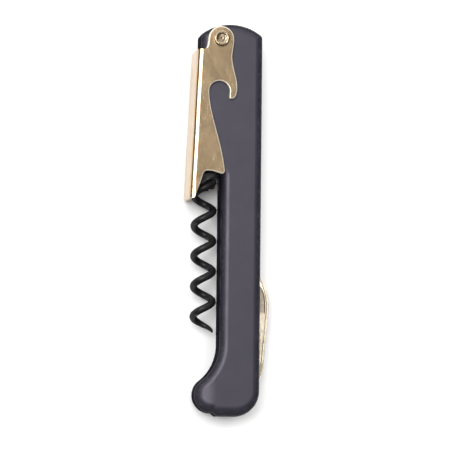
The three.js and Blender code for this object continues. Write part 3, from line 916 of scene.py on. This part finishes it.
def blade_section(y):
    """A slightly full grind runs from near the back down to the cutting edge, past the plain tang."""
    left, right = edge_at(y), back_at(y)
    width = right - left
    ground = smoothstep(y, 12.8, 16.5)
    thick = BLADE_HALF * lerp(1, 0.35, smoothstep(y, 38, TIP[1]))
    edge_half = lerp(thick - 0.14, EDGE_HALF, ground)
    shoulder = right - min(0.62, 0.25 * width)
    grind = lerp(left + min(0.14, 0.3 * width), shoulder - 0.02, ground)
    line = min(0.22, 0.05 * width)
    corner = right - min(0.12, 0.08 * width)
    belly = (lerp(left, grind - line, 0.4), lerp(edge_half, thick, lerp(0.9, 0.57, ground)))
    top = [(left, edge_half), belly, (grind - line, thick), (shoulder, thick - 0.35 * line)]
    top += [(corner, thick - 0.22 * line), (right, thick - 0.15)]
    low = [(x, -z) for x, z in reversed(top)]
    return [(x, y, z) for x, z in low + top]


def nick_cutter():
    """The nail nick: a flat-bottomed groove beside the blade's back, blunt towards the tang."""
    levels = []
    steps = 24
    for i in range(steps + 1):
        share = i / steps
        y = lerp(*NICK_ENDS, share)
        right = back_at(y) - 1.15
        floor = BLADE_HALF - 0.06 - 0.2 * smoothstep(share, 0, 0.3)
        bottom = [(NICK_LEFT - 0.1, floor), (right - 0.2, floor)]
        level = [(NICK_LEFT, 2), *bottom, (right + 0.15, BLADE_HALF + 0.1), (right + 0.15, 2)]
        levels.append([(x, y, z) for x, z in level])
    return lofted(levels)


def knife_mesh():
    """Sections up the blade, closer together round the tang and towards the tip."""
    low = KNIFE_PIN[1] - TANG_RADIUS
    heights = [low + 0.03]
    heights += [low + TANG_RADIUS * (1 - math.cos(math.radians(a))) for a in range(8, 96, 6)]
    y = heights[-1]
    while y < TIP[1] - 1.2:
        y += 0.45
        heights.append(y)
    while y < TIP[1] - 0.08:
        y += (TIP[1] - y) * 0.28
        heights.append(y)
    blade = lofted([blade_section(h) for h in heights])
    return cut(blade, bar(KNIFE_PIN, KNIFE_HOLE, -2, 2), nick_cutter())


piece("foil_knife", knife_mesh(), "knife", "knife_blade", GILT, 14)


# ---------------------------------------------------------------- floor, light and camera

def floor_material():
    n = Nodes("floor")
    tone = n.ramp(n.noise(3, 3), (0.3, (0.90, 0.90, 0.895)), (0.7, (0.93, 0.93, 0.925)))
    grain = n.bump(n.noise(900, 2), 0.00003, 0.2)
    n.set(Base_Color=tone, Roughness=0.75, Normal=grain, Specular_IOR_Level=0.2)
    return n.material


def make_floor():
    bm = bmesh.new()
    bmesh.ops.create_grid(bm, x_segments=8, y_segments=8, size=4.0)
    mesh = bpy.data.meshes.new("floor")
    bm.to_mesh(mesh)
    bm.free()
    mesh.materials.append(floor_material())
    floor = bpy.data.objects.new("floor", mesh)
    floor.location.z = -0.00002
    bpy.context.scene.collection.objects.link(floor)


def soft_light(name, place, size, power, aim=(0, 0, 0.008), mirrored=True):
    """A large soft light. One that isn't mirrored lights surfaces without showing in glossy ones."""
    data = bpy.data.lights.new(name, "AREA")
    data.shape = "RECTANGLE"
    data.size, data.size_y = size
    data.energy = power
    light = bpy.data.objects.new(name, data)
    light.location = place
    light.visible_glossy = mirrored
    light.rotation_mode = "QUATERNION"
    light.rotation_quaternion = (Vector(aim) - Vector(place)).to_track_quat("-Z", "Y")
    bpy.context.scene.collection.objects.link(light)


def make_world(*stops, head_glow):
    """A dim room that is lighter towards the ceiling, with a glow from beyond the head. The stops are
    brightness against the sine of the elevation."""
    world = bpy.data.worlds.new("studio")
    bpy.context.scene.world = world
    world.use_nodes = True
    tree = world.node_tree
    split = tree.nodes.new("ShaderNodeSeparateXYZ")
    tree.links.new(tree.nodes.new("ShaderNodeTexCoord").outputs["Generated"], split.inputs[0])
    ramp = tree.nodes.new("ShaderNodeValToRGB")
    elements = ramp.color_ramp.elements
    while len(elements) < len(stops):
        elements.new(0.5)
    for element, (position, grey) in zip(elements, stops):
        element.position = position
        element.color = (grey, grey, grey, 1)
    tree.links.new(split.outputs["Z"], ramp.inputs["Fac"])
    glow = tree.nodes.new("ShaderNodeMapRange")
    glow.interpolation_type = "SMOOTHSTEP"
    for key, number in {"From Min": 0.25, "From Max": 0.9, "To Max": head_glow}.items():
        glow.inputs[key].default_value = number
    tree.links.new(split.outputs["Y"], glow.inputs["Value"])
    total = tree.nodes.new("ShaderNodeVectorMath")
    total.operation = "ADD"
    tree.links.new(ramp.outputs["Color"], total.inputs[0])
    tree.links.new(glow.outputs["Result"], total.inputs[1])
    tree.links.new(total.outputs["Vector"], tree.nodes["Background"].inputs["Color"])


make_floor()
soft_light("left_strip", (-0.475, 0.2, 1.2), (0.75, 0.6), 15, aim=(-0.475, 0.2, 0))
soft_light("right_fill", (0.42, 0.12, 1.1), (1.0, 1.2), 8, mirrored=False)
make_world((0.0, 0.09), (0.5, 0.10), (0.85, 0.3), (0.95, 0.36), head_glow=1.5)
bpy.context.scene.view_settings.view_transform = "Standard"

# The view is turned a little to the lever's side and to the heel, from straight above.
# Angles are in degrees about y, x and z, and lengths in millimetres.
VIEW_TURN = (-8.42, 4.46, 0.6)
VIEW_CENTRE = (-0.83, -1.39, 8.4)
VIEW_WIDTH = 137.79
camera_data = bpy.data.cameras.new("camera")
camera_data.sensor_width = 36
camera_data.lens = 200
camera = bpy.data.objects.new("camera", camera_data)
bpy.context.scene.collection.objects.link(camera)
turn_y, turn_x, turn_z = (math.radians(a) for a in VIEW_TURN)
tilt = Matrix.Rotation(turn_y, 4, "Y") @ Matrix.Rotation(turn_x, 4, "X") @ Matrix.Rotation(turn_z, 4, "Z")
aim = Vector(VIEW_CENTRE) * MM
distance = VIEW_WIDTH * MM * camera_data.lens / camera_data.sensor_width
camera.matrix_world = Matrix.Translation(aim + tilt.to_3x3() @ Vector((0, 0, distance))) @ tilt
bpy.context.scene.camera = camera
